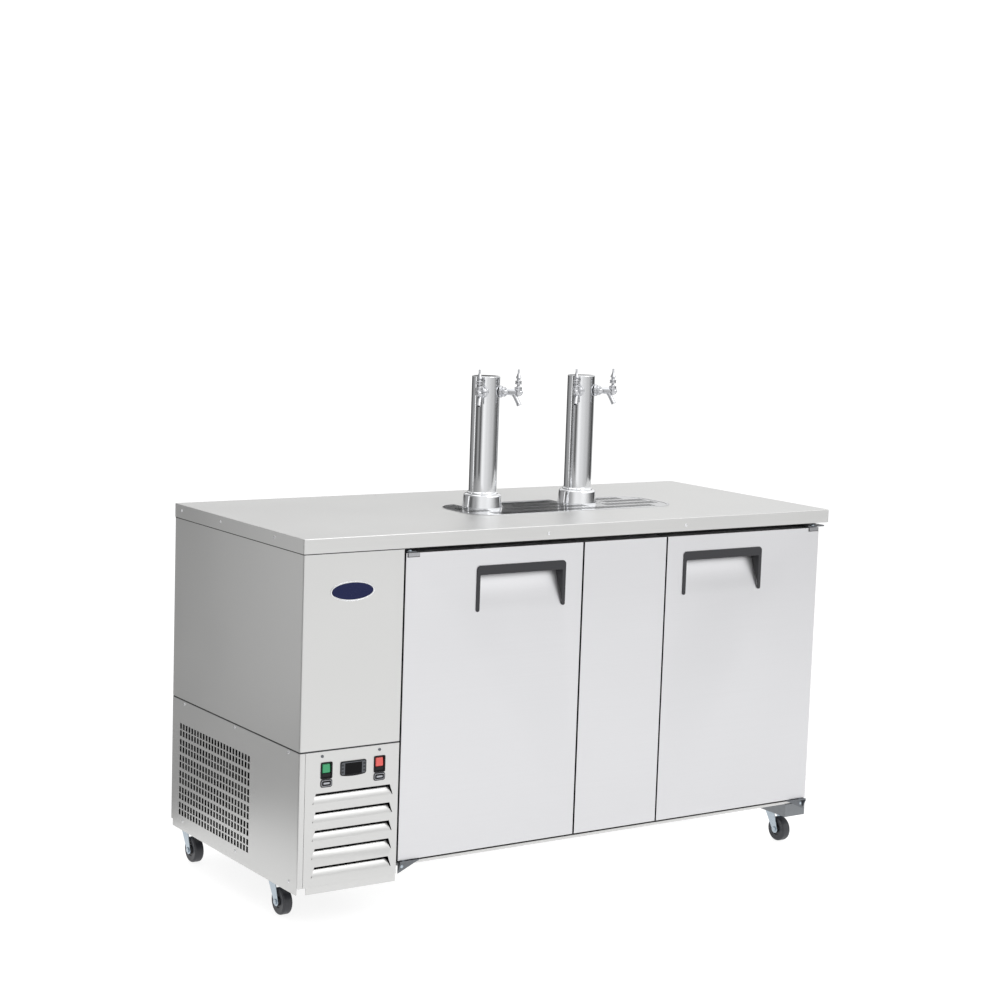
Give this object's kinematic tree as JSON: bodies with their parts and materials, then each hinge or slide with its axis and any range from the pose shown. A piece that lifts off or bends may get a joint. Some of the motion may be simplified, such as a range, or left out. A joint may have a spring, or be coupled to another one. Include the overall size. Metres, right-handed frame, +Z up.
{
  "type": "draft beer cooler",
  "caption": "Counter-height draft beer cooler on casters: insulated keg cabinet with hinged doors, side machine bay, sunk drip tray and tap towers.",
  "frame": {"origin": "on the floor, under the middle of the counter's footprint", "axes": "+X to the right along the long side, +Y to the back, +Z up; the doors face -Y"},
  "size_m": [1.75, 0.75, 1.4043],
  "materials": {
    "stainless_skin": "fine brushed stainless sheet",
    "stainless_door": "satin stainless sheet over foam",
    "polished_stainless": "polished stainless tube and plated brass",
    "black_plastic": "moulded black plastic",
    "green_plastic": "clear green rocker",
    "red_plastic": "clear red rocker",
    "display_window": "smoked display window",
    "zinc_plate": "bright zinc-plated steel",
    "caster_rubber": "dark polyurethane tread",
    "seal_rubber": "soft magnetic door seal",
    "inner_liner": "stucco aluminium liner over foam",
    "galvanised_sheet": "galvanised sheet steel",
    "black_enamel": "black painted steel",
    "coil_fins": "bare aluminium fins"
  },
  "bodies": {
    "cabinet": {"counter_top": "stainless_skin", "drip_tray": "stainless_skin", "cabinet_floor": "stainless_skin", "cabinet_ceiling": "inner_liner", "cabinet_back": "galvanised_sheet", "cabinet_right_wall": "stainless_skin", "bulkhead": "inner_liner", "door_frame": "black_enamel", "centre_panel": "stainless_door", "hinge_top_left": "zinc_plate", "hinge_bottom_left": "zinc_plate", "hinge_top_right": "zinc_plate", "hinge_bottom_right": "zinc_plate", "upper_skin": "stainless_skin", "side_grille": "stainless_skin", "louver_panel": "stainless_skin", "bay_back_panel": "galvanised_sheet", "power_switch_bezel": "black_plastic", "light_switch_bezel": "black_plastic", "temperature_controller": "black_plastic", "controller_screen": "display_window", "machine_base": "galvanised_sheet", "condenser_coil": "coil_fins", "condenser_shroud": "black_enamel", "compressor": "black_enamel", "evaporator_box": "inner_liner", "evaporator_coil": "coil_fins", "evaporator_shroud": "black_plastic", "tower_left": "polished_stainless", "tap_left_a": "polished_stainless", "tap_left_b": "polished_stainless", "tower_right": "polished_stainless", "tap_right_a": "polished_stainless", "tap_right_b": "polished_stainless", "base_frame": "galvanised_sheet", "base_channel": "galvanised_sheet"},
    "left_door": {"door_left": "stainless_door", "door_gasket_left": "seal_rubber", "door_pull_left": "black_plastic"},
    "right_door": {"door_right": "stainless_door", "door_gasket_right": "seal_rubber", "door_pull_right": "black_plastic"},
    "grate": {"tray_grate": "stainless_skin"},
    "power_switch": {"power_rocker": "green_plastic"},
    "light_switch": {"light_rocker": "red_plastic"},
    "condenser_rotor": {"condenser_fan": "black_plastic"},
    "evaporator_rotor": {"evaporator_fan": "black_plastic"},
    "lever_left_a": {"tap_lever_left_a": "polished_stainless"},
    "lever_left_b": {"tap_lever_left_b": "polished_stainless"},
    "lever_right_a": {"tap_lever_right_a": "polished_stainless"},
    "lever_right_b": {"tap_lever_right_b": "polished_stainless"},
    "fork_front_left": {"caster_fork_front_left": "zinc_plate"},
    "wheel_front_left": {"caster_wheel_front_left": "caster_rubber"},
    "fork_back_left": {"caster_fork_back_left": "zinc_plate"},
    "wheel_back_left": {"caster_wheel_back_left": "caster_rubber"},
    "fork_front_right": {"caster_fork_front_right": "zinc_plate"},
    "wheel_front_right": {"caster_wheel_front_right": "caster_rubber"},
    "fork_back_right": {"caster_fork_back_right": "zinc_plate"},
    "wheel_back_right": {"caster_wheel_back_right": "caster_rubber"}
  },
  "joints": [
    {"name": "left_door_hinge", "type": "hinge", "parent": "cabinet", "child": "left_door", "pos_m": [-0.559, -0.36, 0.55], "axis": [0, 0, -1], "range_deg": [0, 110]},
    {"name": "right_door_hinge", "type": "hinge", "parent": "cabinet", "child": "right_door", "pos_m": [0.825, -0.36, 0.55], "axis": [0, 0, 1], "range_deg": [0, 110]},
    {"name": "grate_lift", "type": "slide", "parent": "cabinet", "child": "grate", "axis": [0, 0, 1], "range_m": [0, 0.2]},
    {"name": "power_switch_tilt", "type": "hinge", "parent": "cabinet", "child": "power_switch", "pos_m": [-0.795, -0.3685, 0.413], "axis": [1, 0, 0], "range_deg": [-9, 9]},
    {"name": "light_switch_tilt", "type": "hinge", "parent": "cabinet", "child": "light_switch", "pos_m": [-0.639, -0.3685, 0.413], "axis": [1, 0, 0], "range_deg": [-9, 9]},
    {"name": "condenser_fan_spin", "type": "hinge", "parent": "cabinet", "child": "condenser_rotor", "pos_m": [-0.727, -0.2517, 0.2398], "axis": [0, 1, 0], "continuous": true},
    {"name": "evaporator_fan_spin", "type": "hinge", "parent": "cabinet", "child": "evaporator_rotor", "pos_m": [-0.5963, 0.01165, 0.7877], "axis": [1, 0, 0], "continuous": true},
    {"name": "tap_left_a_pull", "type": "hinge", "parent": "cabinet", "child": "lever_left_a", "pos_m": [-0.15076, -0.04076, 1.3543], "axis": [0.7071, -0.7071, 0], "range_deg": [0, 35]},
    {"name": "tap_left_b_pull", "type": "hinge", "parent": "cabinet", "child": "lever_left_b", "pos_m": [-0.01924, -0.04076, 1.3543], "axis": [0.7071, 0.7071, 0], "range_deg": [0, 35]},
    {"name": "tap_right_a_pull", "type": "hinge", "parent": "cabinet", "child": "lever_right_a", "pos_m": [0.18124, -0.04076, 1.3543], "axis": [0.7071, -0.7071, 0], "range_deg": [0, 35]},
    {"name": "tap_right_b_pull", "type": "hinge", "parent": "cabinet", "child": "lever_right_b", "pos_m": [0.31276, -0.04076, 1.3543], "axis": [0.7071, 0.7071, 0], "range_deg": [0, 35]},
    {"name": "swivel_front_left", "type": "hinge", "parent": "cabinet", "child": "fork_front_left", "pos_m": [-0.835, -0.2, 0.088], "axis": [0, 0, 1], "continuous": true},
    {"name": "roll_front_left", "type": "hinge", "parent": "fork_front_left", "child": "wheel_front_left", "pos_m": [-0.835, -0.225, 0.036], "axis": [1, 0, 0], "continuous": true},
    {"name": "swivel_back_left", "type": "hinge", "parent": "cabinet", "child": "fork_back_left", "pos_m": [-0.835, 0.325, 0.088], "axis": [0, 0, 1], "continuous": true},
    {"name": "roll_back_left", "type": "hinge", "parent": "fork_back_left", "child": "wheel_back_left", "pos_m": [-0.835, 0.3, 0.036], "axis": [1, 0, 0], "continuous": true},
    {"name": "swivel_front_right", "type": "hinge", "parent": "cabinet", "child": "fork_front_right", "pos_m": [0.809, -0.275, 0.088], "axis": [0, 0, 1], "continuous": true},
    {"name": "roll_front_right", "type": "hinge", "parent": "fork_front_right", "child": "wheel_front_right", "pos_m": [0.809, -0.3, 0.036], "axis": [1, 0, 0], "continuous": true},
    {"name": "swivel_back_right", "type": "hinge", "parent": "cabinet", "child": "fork_back_right", "pos_m": [0.809, 0.325, 0.088], "axis": [0, 0, 1], "continuous": true},
    {"name": "roll_back_right", "type": "hinge", "parent": "fork_back_right", "child": "wheel_back_right", "pos_m": [0.809, 0.3, 0.036], "axis": [1, 0, 0], "continuous": true}
  ]
}
